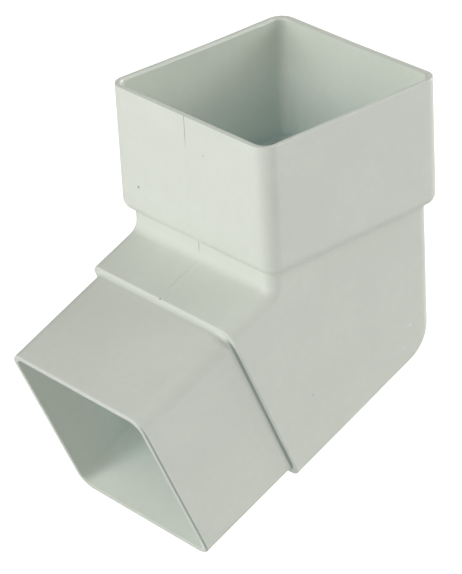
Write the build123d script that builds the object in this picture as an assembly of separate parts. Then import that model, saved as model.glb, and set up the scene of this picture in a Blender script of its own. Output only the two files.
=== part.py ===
from build123d import *
from math import cos, radians, sin, tan
import os

# Offset bend for a square downpipe, moulded in one piece from rigid PVC.
# A downpipe's end drops into the socket at the top and rests on a ledge inside it.
# The bend turns the run of water, and the spigot at the outlet goes inside the next downpipe,
# whose end meets the shoulder and lies flush with the body.
#
# Millimetres. The origin is the centre of the socket's mouth, in the plane of its rim.
# +Z runs up the socket's axis, the outlet leaves towards -X, and Y = 0 is the plane of symmetry.

# The downpipe that the bend joins
pipe_width = 65.0
pipe_wall = 1.6

# Socket
socket_wall = 2.1
socket_depth = 40.0
seat_clearance = 0.3
mouth_clearance = 0.5
socket_corner = 5.2
foot_above_ledge = 2.0
foot_round = 4.2
foot_fillet = 1.1
rim_round = 0.25
lead_in_round = 0.9

# Body, from the socket's foot to the shoulder
bend_angle = 112.5
throat_drop = 29.6
body_relief = 0.15
body_corner = 4.5
root_radius = 3.6
heel_radius = 13.1
shoulder_reach = 39.8
shoulder_edge = 0.4

# Spigot
spigot_length = 37.9
spigot_wall = 1.9
root_clearance = 0.1
lip_clearance = 0.25
spigot_corner = 5.6
cove_run = 1.65
lip_round = 0.6
lip_bore_round = 0.3

# Passage inside, cored out of the socket and out of the spigot
throat_wall = 1.95
funnel_depth = 10.0
passage_draft = 0.2
passage_root = 2.0

# Sizes that follow from those above
turn = 180 - bend_angle
fall = radians(90 - turn)
mitre_slope = tan(radians(turn / 2))

socket_straight = socket_depth - foot_above_ledge
axis_drop = socket_depth + throat_drop
seat_width = pipe_width + 2 * seat_clearance
mouth_width = pipe_width + 2 * mouth_clearance
socket_width = mouth_width + 2 * socket_wall
body_width = pipe_width - 2 * body_relief
throat_width = body_width - 2 * throat_wall
spigot_root_width = pipe_width - 2 * (pipe_wall + root_clearance)
spigot_lip_width = pipe_width - 2 * (pipe_wall + lip_clearance)
lip_bore = spigot_lip_width - 2 * spigot_wall
passage_width = lip_bore - 2 * passage_draft

bore_corner = socket_corner - socket_wall
passage_corner = spigot_corner - spigot_wall
passage_heel = heel_radius - (body_width - passage_width) / 2

outlet = Vector(-cos(fall), 0, -sin(fall))
upper_side = Vector(-sin(fall), 0, cos(fall))
arm = Plane(origin=(0, 0, -axis_drop), x_dir=upper_side, z_dir=outlet)
arm_axis = Axis(arm.origin, outlet)


def square_at(plane, width, corner):
    return plane * RectangleRounded(width, width, corner)


def tapered_bar(plane, near_width, near_corner, far_width, length):
    """A square bar from a plane along its normal, whose sides draw in or out evenly."""
    far_corner = near_corner + (far_width - near_width) / 2
    near = square_at(plane, near_width, near_corner)
    far = square_at(plane.offset(length), far_width, far_corner)
    return loft([near, far], ruled=True)


def elbow(width, corner, top, reach, root, heel):
    """A mitred square bar, from the height top down to the turn, then by reach along the arm."""
    half = width / 2
    mitre_rise = half * mitre_slope
    root_point = Vector(-half, 0, mitre_rise - axis_drop)
    heel_point = Vector(half, 0, -mitre_rise - axis_drop)
    profile = make_face(
        Polyline(
            Vector(-half, 0, top),
            root_point,
            arm.from_local_coords(Vector(half, 0, reach)),
            arm.from_local_coords(Vector(-half, 0, reach)),
            heel_point,
            Vector(half, 0, top),
            close=True,
        )
    )
    profile = fillet(profile.vertices().sort_by_distance(root_point)[0], root)
    profile = fillet(profile.vertices().sort_by_distance(heel_point)[0], heel)
    bar = extrude(profile, amount=half, both=True)
    ends = bar.faces().filter_by(Axis.Z) + bar.faces().filter_by(arm_axis)
    long_edges = bar.faces().filter_by(Axis.Y).edges() - ends.edges()
    return fillet(long_edges, corner)


def socket_block():
    """The socket's outer form: a square block with a rounded rim and a deeply rounded foot."""
    height = socket_straight + foot_round
    block = extrude(square_at(Plane.XY, socket_width, socket_corner), amount=-height)
    block = fillet(block.faces().sort_by(Axis.Z)[0].edges(), foot_round)
    return fillet(block.faces().sort_by(Axis.Z)[-1].edges(), rim_round)


def body():
    """The elbow between the socket and the shoulder, whose last edge is eased."""
    bar = elbow(body_width, body_corner, -socket_straight, shoulder_reach, root_radius, heel_radius)
    end = bar.faces().sort_by(arm_axis)[-1]
    return fillet(end.edges(), shoulder_edge)


def spigot():
    """The outlet's outer form, drawn in slightly towards its lip."""
    root = arm.offset(shoulder_reach)
    bar = tapered_bar(root, spigot_root_width, spigot_corner, spigot_lip_width, spigot_length)
    lip = bar.faces().sort_by(arm_axis)[-1]
    return fillet(lip.edges(), lip_round)


def shoulder_cove():
    """The hollow ramp from the spigot up to the shoulder's edge, swept once round the spigot's root."""
    rise = (body_width - spigot_root_width) / 2 - shoulder_edge
    embed = spigot_wall / 2
    root = arm.offset(shoulder_reach)
    start = root.from_local_coords(Vector(spigot_root_width / 2, 0, 0))
    across = Plane(origin=start, x_dir=upper_side, z_dir=Vector(0, -1, 0))
    curve = TangentArc((0, cove_run), (rise, 0), tangent=(0, -1))
    back = Polyline((rise, 0), (-embed, 0), (-embed, cove_run), (0, cove_run))
    path = square_at(root, spigot_root_width, spigot_corner).face().outer_wire()
    return sweep(across * make_face(curve + back), path=path)


def outer_form():
    """Socket, body and spigot in one, with a small fillet in the angle under the socket's foot."""
    block = socket_block()
    bar = body()
    form = block + bar
    form = fillet(new_edges(block, bar, combined=form), foot_fillet)
    return form + spigot() + shoulder_cove()


def passage():
    """Everything that the cores leave open: socket bore, funnel below the ledge, elbow and spigot bore."""
    seat = Plane.XY.offset(-socket_depth)
    bore = tapered_bar(seat, seat_width, bore_corner, mouth_width, socket_depth)
    funnel_foot = seat.offset(-funnel_depth)
    funnel = tapered_bar(funnel_foot, passage_width, passage_corner, throat_width, funnel_depth)
    turned = elbow(
        passage_width, passage_corner, -socket_depth, shoulder_reach, passage_root, passage_heel
    )
    outlet_bore = tapered_bar(
        arm.offset(shoulder_reach), passage_width, passage_corner, lip_bore, spigot_length
    )
    return bore + funnel + turned + outlet_bore


def mouth_edges(form, axis):
    """The inner edges of the flat end that lies furthest along an axis."""
    end = form.faces().filter_by(axis).sort_by(axis)[-1]
    return end.inner_wires()[0].edges()


bend = outer_form() - passage()
bend = fillet(mouth_edges(bend, Axis.Z), lead_in_round)
bend = fillet(mouth_edges(bend, arm_axis), lip_bore_round)
os.makedirs("parts", exist_ok=True)
export_step(bend, "parts/offset_bend.step")
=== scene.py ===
import math

import bmesh
import bpy
from mathutils import Matrix, Vector, noise


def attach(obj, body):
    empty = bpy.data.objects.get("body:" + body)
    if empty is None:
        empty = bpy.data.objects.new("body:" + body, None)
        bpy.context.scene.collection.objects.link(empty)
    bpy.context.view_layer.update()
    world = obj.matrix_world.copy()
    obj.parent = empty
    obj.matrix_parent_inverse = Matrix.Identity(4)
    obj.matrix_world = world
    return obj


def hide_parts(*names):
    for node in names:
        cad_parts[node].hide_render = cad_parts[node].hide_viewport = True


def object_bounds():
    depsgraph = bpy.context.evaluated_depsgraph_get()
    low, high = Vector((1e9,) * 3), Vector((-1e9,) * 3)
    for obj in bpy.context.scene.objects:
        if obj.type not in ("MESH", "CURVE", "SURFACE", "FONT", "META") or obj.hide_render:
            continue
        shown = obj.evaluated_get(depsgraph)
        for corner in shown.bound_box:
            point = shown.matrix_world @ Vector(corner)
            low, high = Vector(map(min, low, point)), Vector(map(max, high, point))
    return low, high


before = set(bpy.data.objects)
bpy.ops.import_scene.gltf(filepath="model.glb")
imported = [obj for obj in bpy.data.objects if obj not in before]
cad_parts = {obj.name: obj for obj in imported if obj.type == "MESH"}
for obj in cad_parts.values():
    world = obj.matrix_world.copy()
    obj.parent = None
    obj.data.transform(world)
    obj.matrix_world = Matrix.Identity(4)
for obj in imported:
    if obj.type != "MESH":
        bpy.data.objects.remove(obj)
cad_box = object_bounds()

# Offset bend for a square downpipe, in pale moulded PVC, on a plain floor in soft light.
# Lengths are in metres, in the frame of the solids: the origin is the centre of the socket's
# mouth, +Z runs up the socket's axis, and the outlet leaves towards -X.
mm = 0.001
x_axis, y_axis, z_axis = Vector((1, 0, 0)), Vector((0, 1, 0)), Vector((0, 0, 1))

# Camera, fitted to the photograph's outline: roll in degrees, lens and sensor in millimetres
camera_place = Vector((-0.55776, -0.64690, 0.38710))
camera_target = Vector((-0.02011, 0.00092, -0.06280))
camera_roll = 3.293
camera_lens = 197.39
camera_sensor = 36.0
camera_reach = 20.0

# Landmarks of the bend
socket_half = 35.1 * mm
ledge_depth = 40.0 * mm
turn_point = Vector((0, 0, -69.6 * mm))
fall = math.radians(22.5)
outlet = Vector((-math.cos(fall), 0, -math.sin(fall)))
upper_side = Vector((-math.sin(fall), 0, math.cos(fall)))

# Mesh: width of the cells that the faces are cut into, points this near count as one,
# edges that turn by more stay sharp, and the large faces' say in the shading at corners
grid_step = 6.0 * mm
weld = 0.001 * mm
smooth_limit = math.radians(35)
large_face_weight = 100

# How far the socket's walls on the +X and +Y sides draw in at the middle of the rim
draw_in = Vector((0.30, 0.50, 0)) * mm

# Parting line, the fine ridge that the mould's two halves leave in the plane of symmetry.
# It is plain only in a few stretches, given by centre, reach and strength.
seam_half_width = 0.2 * mm
seam_height = 0.05 * mm
seam_zone = 0.3 * mm
seam_faint = 0.05
seam_patch = 9 * mm
outer_face_limit = 0.3
plain_stretches = [
    (Vector((-35, 0, -4.5)) * mm, 6 * mm, 1.0),
    (Vector((-32.4, 0, -43.6)) * mm, 2.2 * mm, 0.6),
    (Vector((-39.5, 0, -51)) * mm, 6.5 * mm, 0.33),
]

# Specks in the plastic, given by centre, radius and tone: below 1 is darker, above 1 is lighter
specks = [
    (Vector((-35.1, 23.6, -31.2)) * mm, 0.55 * mm, 0.40),
    (Vector((-35.1, -7.8, -10.4)) * mm, 0.5 * mm, 0.80),
    (Vector((-49.0, -0.6, -55.0)) * mm, 0.5 * mm, 0.50),
    (Vector((22.6, -32.4, -80.4)) * mm, 0.7 * mm, 1.12),
    (Vector((19.8, -32.4, -87.4)) * mm, 0.6 * mm, 1.10),
    (Vector((-18.2, -32.4, -88.1)) * mm, 0.6 * mm, 0.85),
]

# Painted shade in dark lines on both sides, in the shoulder's step and along the lip's edge:
# from where to where along the arm, counted from the turn, and how far from Y = 0 it starts
painted_shade_spans = [(40.0 * mm, 40.6 * mm), (77.15 * mm, 77.65 * mm)]
painted_shade_side = 29.3 * mm
painted_shade_fade = 1.5 * mm

# Colours, as linear values, and tones that multiply the plastic's own colour
pvc_colour = (0.805, 0.840, 0.755)
# Painted shade: the dark lines in the shoulder's step and along the lip's edge
painted_shade_colour = (0.370, 0.440, 0.390)
# Painted shade: a teal tint over the plastic where its own walls shelter it
painted_shade_tint = (0.84, 0.99, 1.13)
cloud_tones = (0.985, 1.015)
mottle_tone = 0.95
seam_tone = 0.2
floor_colour = (0.84, 0.84, 0.84)
white = (1.0, 1.0, 1.0, 1.0)

# Surface of the plastic: sizes of its marks, depths of its relief, and its gloss
cloud_size = 22 * mm
mottle_size = 2.4 * mm
mottle_share = 0.35
scuff_size = 5 * mm
scuff_stretch = (1.0, 1.0, 3.0)
ripple_size, ripple_depth = 9 * mm, 0.02 * mm
grain_size, grain_depth = 0.35 * mm, 0.004 * mm
pvc_roughness = (0.28, 0.33)
pvc_specular = 0.45

# Shelter, which sets where a painted teal shade goes: how far round a point counts, and the
# openness there at which it is wholly sheltered and not sheltered at all
shelter_reach = 80 * mm
shelter_range = (0.05, 0.40)
shelter_samples = 8

# Floor
floor_size = 8.0
floor_gap = 1 * mm
floor_roughness = 0.9
floor_glow = 0.80

# Light: where each soft box stands round the bend in degrees, its width and height in metres,
# and its power in watts
sky_strength = 0.01
backdrop_strength = 1.0
lamp_distance = 1.9
lamp_centre = Vector((0, 0, -0.06))
lamps = {
    "key_left": {"azimuth": 162, "elevation": 9, "size": (0.7, 1.2), "power": 14.6},
    "key_high": {"azimuth": 167, "elevation": 52, "size": (0.7, 0.7), "power": 6.5},
    "front_left": {"azimuth": 198, "elevation": 27, "size": (0.7, 0.7), "power": 8.2},
    "fill_right": {"azimuth": 310, "elevation": 15, "size": (0.7, 1.2), "power": 9.2},
    "fill_high": {"azimuth": 310, "elevation": 45, "size": (0.7, 0.7), "power": 4.7},
    "back_light": {"azimuth": 0, "elevation": 25, "size": (1.4, 0.7), "power": 23.5},
}


def set_camera():
    data = bpy.data.cameras.new("camera")
    data.lens = camera_lens
    data.sensor_width = camera_sensor
    data.clip_end = camera_reach
    camera = bpy.data.objects.new("camera", data)
    bpy.context.collection.objects.link(camera)
    view = (camera_target - camera_place).normalized()
    level = view.to_track_quat("-Z", "Y").to_matrix().to_4x4()
    roll = Matrix.Rotation(-math.radians(camera_roll), 4, "Z")
    camera.matrix_world = Matrix.Translation(camera_place) @ level @ roll
    bpy.context.scene.camera = camera


def set_world():
    """An even sky, which the camera sees as plain white."""
    world = bpy.data.worlds.new("studio")
    bpy.context.scene.world = world
    world.use_nodes = True
    nodes, links = world.node_tree.nodes, world.node_tree.links
    sky = nodes["Background"]
    sky.inputs["Color"].default_value = white
    sky.inputs["Strength"].default_value = sky_strength
    backdrop = nodes.new("ShaderNodeBackground")
    backdrop.inputs["Color"].default_value = white
    backdrop.inputs["Strength"].default_value = backdrop_strength
    path = nodes.new("ShaderNodeLightPath")
    mix = nodes.new("ShaderNodeMixShader")
    links.new(path.outputs["Is Camera Ray"], mix.inputs["Fac"])
    links.new(sky.outputs["Background"], mix.inputs[1])
    links.new(backdrop.outputs["Background"], mix.inputs[2])
    links.new(mix.outputs["Shader"], nodes["World Output"].inputs["Surface"])


def soft_box(name, azimuth, elevation, size, power):
    """A rectangular lamp on a sphere round the bend, facing its middle."""
    data = bpy.data.lights.new(name, "AREA")
    data.shape = "RECTANGLE"
    data.size, data.size_y = size
    data.energy = power
    lamp = bpy.data.objects.new(name, data)
    bpy.context.collection.objects.link(lamp)
    turn, rise = math.radians(azimuth), math.radians(elevation)
    level, up = math.cos(rise), math.sin(rise)
    away = Vector((math.cos(turn) * level, math.sin(turn) * level, up))
    facing = (-away).to_track_quat("-Z", "Y").to_matrix().to_4x4()
    lamp.matrix_world = Matrix.Translation(lamp_centre + lamp_distance * away) @ facing


class Shading:
    """Adds nodes to one material and wires them, so that a recipe reads from top to bottom."""

    def __init__(self, name):
        self.material = bpy.data.materials.new(name)
        self.material.use_nodes = True
        self.nodes = self.material.node_tree.nodes
        self.links = self.material.node_tree.links
        self.shader = self.nodes["Principled BSDF"]

    def feed(self, socket, value):
        """Links another node's output to a socket, or sets the socket to a plain value."""
        if isinstance(value, bpy.types.NodeSocket):
            self.links.new(value, socket)
        else:
            socket.default_value = value

    def place(self):
        return self.nodes.new("ShaderNodeTexCoord").outputs["Object"]

    def noise(self, size, detail, stretch=None):
        """Noise from 0 to 1, in lumps of about this size, drawn out along X, Y and Z by stretch."""
        where = self.place()
        if stretch:
            mapping = self.nodes.new("ShaderNodeMapping")
            mapping.inputs["Scale"].default_value = [1 / factor for factor in stretch]
            self.links.new(where, mapping.inputs["Vector"])
            where = mapping.outputs["Vector"]
        texture = self.nodes.new("ShaderNodeTexNoise")
        texture.inputs["Scale"].default_value = 1 / size
        texture.inputs["Detail"].default_value = detail
        self.links.new(where, texture.inputs["Vector"])
        return texture.outputs["Fac"]

    def remap(self, value, across, to=(0.0, 1.0)):
        """Carries a value smoothly from one range to another, and holds it at the ends."""
        node = self.nodes.new("ShaderNodeMapRange")
        node.interpolation_type = "SMOOTHSTEP"
        node.inputs["From Min"].default_value, node.inputs["From Max"].default_value = across
        node.inputs["To Min"].default_value, node.inputs["To Max"].default_value = to
        self.links.new(value, node.inputs["Value"])
        return node.outputs["Result"]

    def scaled(self, value, factor):
        node = self.nodes.new("ShaderNodeMath")
        node.operation = "MULTIPLY"
        self.links.new(value, node.inputs[0])
        node.inputs[1].default_value = factor
        return node.outputs["Value"]

    def blend(self, share, first, second):
        """The first colour where share is 0 and the second where it is 1."""
        node = self.nodes.new("ShaderNodeMix")
        node.data_type = "RGBA"
        self.feed(node.inputs["Factor"], share)
        first_colour, second_colour = node.inputs[6], node.inputs[7]
        self.feed(first_colour, first)
        self.feed(second_colour, second)
        return node.outputs[2]

    def multiply(self, first, second):
        product = self.blend(1.0, first, second)
        product.node.blend_type = "MULTIPLY"
        return product

    def distance_to(self, point):
        node = self.nodes.new("ShaderNodeVectorMath")
        node.operation = "DISTANCE"
        self.links.new(self.place(), node.inputs[0])
        node.inputs[1].default_value = point
        return node.outputs["Value"]

    def openness(self, reach):
        """1 where a surface lies open, less where the piece's other walls shelter it."""
        node = self.nodes.new("ShaderNodeAmbientOcclusion")
        node.only_local = True
        node.samples = shelter_samples
        node.inputs["Distance"].default_value = reach
        return node.outputs["AO"]

    def layer(self, name):
        """The values that the mesh's points carry under this name."""
        node = self.nodes.new("ShaderNodeAttribute")
        node.attribute_name = name
        return node.outputs["Fac"]

    def bump(self, height, depth, below=None):
        """Relief of this depth, laid over the relief below it if there is one."""
        node = self.nodes.new("ShaderNodeBump")
        node.inputs["Distance"].default_value = depth
        self.links.new(height, node.inputs["Height"])
        if below:
            self.links.new(below, node.inputs["Normal"])
        return node.outputs["Normal"]


def shade(colour, tone=1.0):
    """The colour as a socket takes it, made darker or lighter by a tone."""
    return (*[channel * tone for channel in colour], 1.0)


def pvc_material():
    """Pale moulded PVC: a satin finish, faint clouding, handling marks and specks, with painted
    shade in dark lines and a painted teal shade where it is sheltered.
    """
    pvc = Shading("moulded_pvc")
    clouds = pvc.noise(cloud_size, detail=3.0)
    mottle = pvc.noise(mottle_size, detail=2.0)
    darker, lighter = [shade(pvc_colour, tone) for tone in cloud_tones]
    colour = pvc.blend(pvc.remap(clouds, across=(0.3, 0.7)), darker, lighter)
    mottled = pvc.remap(mottle, across=(0.35, 0.75), to=(0.0, mottle_share))
    colour = pvc.blend(mottled, colour, shade(pvc_colour, mottle_tone))
    colour = pvc.blend(pvc.layer("parting"), colour, shade(pvc_colour, seam_tone))
    # Painted shade: dark lines in the shoulder's step and along the lip's edge
    colour = pvc.blend(pvc.layer("painted_shade_lines"), colour, shade(painted_shade_colour))
    for centre, radius, tone in specks:
        spot = pvc.remap(pvc.distance_to(centre), across=(0.5 * radius, radius), to=(1.0, 0.0))
        colour = pvc.blend(spot, colour, shade(pvc_colour, tone))
    # Painted shade: the colour turns teal where the piece's own walls shelter it
    painted_shade_share = pvc.remap(pvc.openness(shelter_reach), across=shelter_range, to=(1.0, 0.0))
    colour_in_painted_shade = pvc.multiply(colour, shade(painted_shade_tint))
    pvc.links.new(pvc.blend(painted_shade_share, colour, colour_in_painted_shade), pvc.shader.inputs["Base Color"])

    scuffs = pvc.noise(scuff_size, detail=4.0, stretch=scuff_stretch)
    roughness = pvc.remap(scuffs, across=(0.3, 0.8), to=pvc_roughness)
    pvc.links.new(roughness, pvc.shader.inputs["Roughness"])
    pvc.shader.inputs["Specular IOR Level"].default_value = pvc_specular

    ripple = pvc.bump(pvc.noise(ripple_size, detail=1.0), ripple_depth)
    grain = pvc.bump(pvc.noise(grain_size, detail=1.0), grain_depth, below=ripple)
    pvc.links.new(grain, pvc.shader.inputs["Normal"])
    return pvc.material


def floor_material():
    """White paint that looks like a white page to the camera and keeps the bend's soft shadow."""
    floor = Shading("floor_paint")
    floor.shader.inputs["Base Color"].default_value = shade(floor_colour)
    floor.shader.inputs["Roughness"].default_value = floor_roughness
    path = floor.nodes.new("ShaderNodeLightPath")
    glow = floor.scaled(path.outputs["Is Camera Ray"], floor_glow)
    floor.shader.inputs["Emission Color"].default_value = white
    floor.links.new(glow, floor.shader.inputs["Emission Strength"])
    return floor.material


def lay_floor():
    lowest = cad_box[0][2]
    bpy.ops.mesh.primitive_plane_add(size=floor_size, location=(0, 0, lowest - floor_gap))
    floor = bpy.context.object
    floor.name = "floor"
    floor.data.materials.append(floor_material())


def span(low, high, step):
    """Evenly spaced values inside an interval, about one step apart."""
    count = math.ceil((high - low) / step)
    return [low + (high - low) * k / count for k in range(1, count)]


def cut_across(form, direction, value, gap):
    """Cuts the whole form by the plane at this value along a direction."""
    bmesh.ops.bisect_plane(
        form,
        geom=form.verts[:] + form.edges[:] + form.faces[:],
        dist=gap,
        plane_co=direction * value,
        plane_no=direction,
    )


def cut_grid(form):
    """Cuts the long flat faces into cells, so that they can carry a slight draw."""
    low, high = cad_box
    for axis, direction in enumerate((x_axis, y_axis, z_axis)):
        for value in span(low[axis], high[axis], grid_step):
            cut_across(form, direction, value, weld)


def crown(value):
    """1 at the middle of a wall, falling smoothly to 0 at its corners."""
    return math.cos(math.pi / 2 * min(1.0, abs(value) / socket_half)) ** 2


def draw_walls(form):
    """Draws two of the socket's walls in at their middle: most at the rim, none at the ledge."""
    for vertex in form.verts:
        x, y, z = vertex.co
        height = max(0.0, 1 + z / ledge_depth) ** 2
        vertex.co.x -= max(0.0, x / socket_half) * draw_in.x * crown(y) * height
        vertex.co.y -= max(0.0, y / socket_half) * draw_in.y * crown(x) * height


def outward(point):
    """The direction from the passage's centreline to a point, in the plane of symmetry."""
    from_turn = point - turn_point
    past_the_turn = from_turn.dot(outlet - z_axis) > 0
    side = upper_side if past_the_turn else x_axis
    return side if from_turn.dot(side) > 0 else -side


def on_the_outside(vertex):
    """True below the rim where the surface faces away from the passage."""
    return vertex.normal.dot(outward(vertex.co)) > outer_face_limit and vertex.co.z < -weld


def seam_strength(point):
    """From 0 to 1: the parting line comes and goes, and is plain in a few stretches."""
    patches = 1 + noise.noise(point / seam_patch)
    strength = seam_faint
    for centre, reach, plainness in plain_stretches:
        nearness = max(0.0, 1 - ((point - centre).length / reach) ** 4)
        strength = max(strength, plainness * nearness)
    return min(1.0, strength * patches)


def inside_box(point):
    """The point itself, or the nearest one that isn't outside the CAD box."""
    low, high = cad_box
    return Vector([min(max(value, low[axis]), high[axis]) for axis, value in enumerate(point)])


def raise_seam(form):
    """Cuts three lines round the plane of symmetry and lifts the middle one on the outside."""
    for value in (-seam_half_width, 0.0, seam_half_width):
        cut_across(form, y_axis, value, weld / 10)
    form.normal_update()
    layer = form.verts.layers.float.new("parting")
    ridge = [vertex for vertex in form.verts if abs(vertex.co.y) < weld and on_the_outside(vertex)]
    for vertex in ridge:
        vertex[layer] = seam_strength(vertex.co)
        vertex.co = inside_box(vertex.co + vertex.normal * seam_height * vertex[layer])


def lay_painted_shade(form):
    """Marks the points in the lines of painted shade: none on the inside, and fading out at the
    corners.
    """
    layer = form.verts.layers.float.new("painted_shade_lines")
    for vertex in form.verts:
        along = (vertex.co - turn_point).dot(outlet)
        if any(start < along < end for start, end in painted_shade_spans):
            vertex[layer] = max(0.0, min(1.0, (abs(vertex.co.y) - painted_shade_side) / painted_shade_fade))


def mark_sharp_edges(form):
    """Sharp where faces turn by more than the limit, and along the parting line."""
    for edge in form.edges:
        low, high = sorted(vertex.co.y for vertex in edge.verts)
        along_seam = high - low < weld and abs(low) < seam_zone
        edge.smooth = not along_seam and edge.calc_face_angle(math.pi) < smooth_limit
    for face in form.faces:
        face.smooth = True


def moulding(node):
    """The bend's own form, with its parting line and the draw that its walls take as they cool."""
    form = bmesh.new()
    form.from_mesh(node.data)
    bmesh.ops.remove_doubles(form, verts=form.verts, dist=weld)
    cut_grid(form)
    raise_seam(form)
    lay_painted_shade(form)
    draw_walls(form)
    form.normal_update()
    mark_sharp_edges(form)
    mesh = bpy.data.meshes.new("bend_moulding")
    form.to_mesh(mesh)
    form.free()
    mesh.materials.append(pvc_material())
    piece = bpy.data.objects.new("bend_moulding", mesh)
    bpy.context.collection.objects.link(piece)
    modifier = piece.modifiers.new("flat_faces_stay_flat", "WEIGHTED_NORMAL")
    modifier.keep_sharp = True
    modifier.weight = large_face_weight
    return piece


set_camera()
set_world()
for name, lamp in lamps.items():
    soft_box(name, **lamp)
lay_floor()

bend = moulding(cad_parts["offset_bend"])
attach(bend, "root")
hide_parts("offset_bend")

bpy.context.scene.view_settings.view_transform = "Standard"
